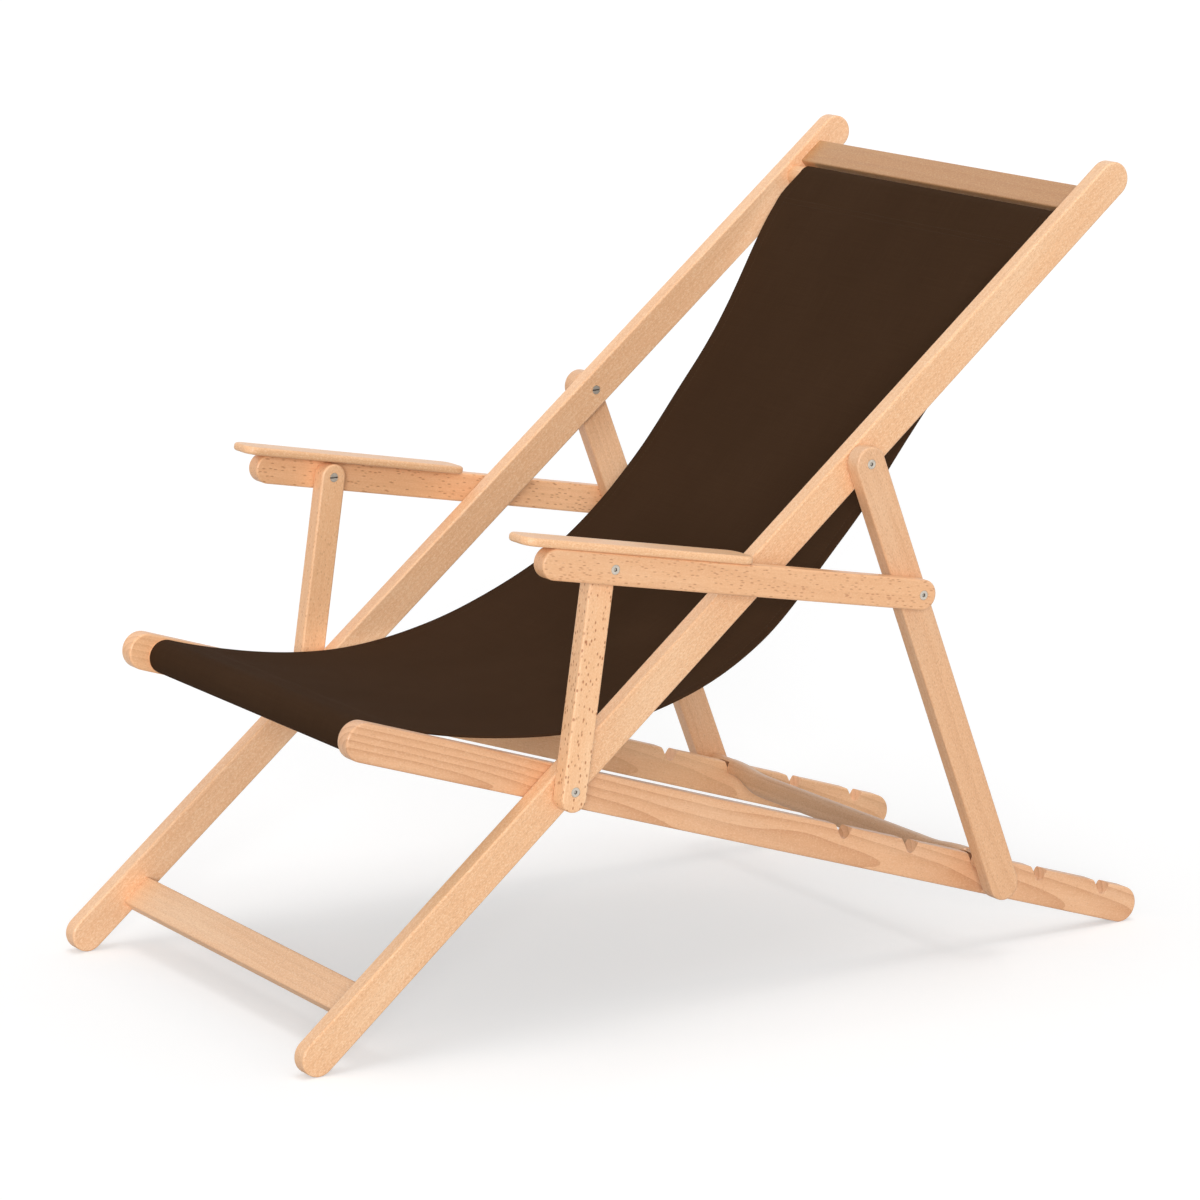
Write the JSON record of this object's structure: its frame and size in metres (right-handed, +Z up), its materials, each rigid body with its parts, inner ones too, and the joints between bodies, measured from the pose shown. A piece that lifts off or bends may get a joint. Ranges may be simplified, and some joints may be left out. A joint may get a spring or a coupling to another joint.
{
  "type": "deck chair with armrests",
  "caption": "Folding wooden deck chair with armrests, a hanging cloth sling and a prop frame that sets the recline in notches.",
  "frame": {"origin": "middle of the bounding box, on the floor", "axes": "+Y from the foot to the back, +X to the right as seen from the front, +Z up"},
  "size_m": [0.6252, 1.0907, 0.8686],
  "materials": {
    "beech": "satin clear varnish",
    "sling_cloth": "matte woven cotton",
    "plated_steel": "nickel plated"
  },
  "bodies": {
    "main_frame": {"main_rail_left": "beech", "main_rail_right": "beech", "top_crossbar": "beech", "foot_crossbar": "beech", "top_sling_rod": "beech", "sling": "sling_cloth", "crossing_sleeves": "plated_steel", "crossing_bolts": "plated_steel", "prop_pivot_sleeves": "plated_steel", "prop_pivot_bolts": "plated_steel", "pivot_washers": "plated_steel"},
    "seat_frame": {"seat_rail_left": "beech", "seat_rail_right": "beech", "front_sling_bar": "beech"},
    "prop_frame": {"prop_leg_left": "beech", "prop_leg_right": "beech", "prop_crossbar": "beech", "arm_rear_sleeves": "plated_steel"},
    "post_left": {"arm_post_left": "beech", "arm_front_sleeve_left": "plated_steel", "arm_front_bolt_left": "plated_steel", "arm_washer_left": "plated_steel"},
    "arm_left": {"arm_rail_left": "beech", "arm_pad_left": "beech", "arm_pad_dowels_left": "beech", "arm_rear_bolt_left": "plated_steel"},
    "post_right": {"arm_post_right": "beech", "arm_front_sleeve_right": "plated_steel", "arm_front_bolt_right": "plated_steel", "arm_washer_right": "plated_steel"},
    "arm_right": {"arm_rail_right": "beech", "arm_pad_right": "beech", "arm_pad_dowels_right": "beech", "arm_rear_bolt_right": "plated_steel"}
  },
  "joints": [
    {"name": "seat_fold", "type": "hinge", "parent": "main_frame", "child": "seat_frame", "pos_m": [0, -0.236, 0.26271], "axis": [1, 0, 0], "range_deg": [0, 57.6], "deforming": ["sling"]},
    {"name": "prop_fold", "type": "hinge", "parent": "main_frame", "child": "prop_frame", "pos_m": [0, 0.13094, 0.5706], "axis": [1, 0, 0], "range_deg": [0, 108.3]},
    {"name": "post_left_fold", "type": "hinge", "parent": "main_frame", "child": "post_left", "pos_m": [0, -0.236, 0.26271], "axis": [1, 0, 0], "range_deg": [-42.2, 0]},
    {"name": "arm_left_fold", "type": "hinge", "parent": "post_left", "child": "arm_left", "pos_m": [0, -0.20334, 0.49644], "axis": [1, 0, 0], "range_deg": [0, 92.2]},
    {"name": "post_right_fold", "type": "hinge", "parent": "main_frame", "child": "post_right", "pos_m": [0, -0.236, 0.26271], "axis": [1, 0, 0], "range_deg": [-42.2, 0]},
    {"name": "arm_right_fold", "type": "hinge", "parent": "post_right", "child": "arm_right", "pos_m": [0, -0.20334, 0.49644], "axis": [1, 0, 0], "range_deg": [0, 92.2]}
  ],
  "couplings": [
    {"joint": "prop_fold", "follows": "seat_fold", "ratio": 1.8784},
    {"joint": "post_left_fold", "follows": "seat_fold", "ratio": -0.72925},
    {"joint": "arm_left_fold", "follows": "seat_fold", "ratio": 1.5974},
    {"joint": "post_right_fold", "follows": "seat_fold", "ratio": -0.72925},
    {"joint": "arm_right_fold", "follows": "seat_fold", "ratio": 1.5974}
  ]
}
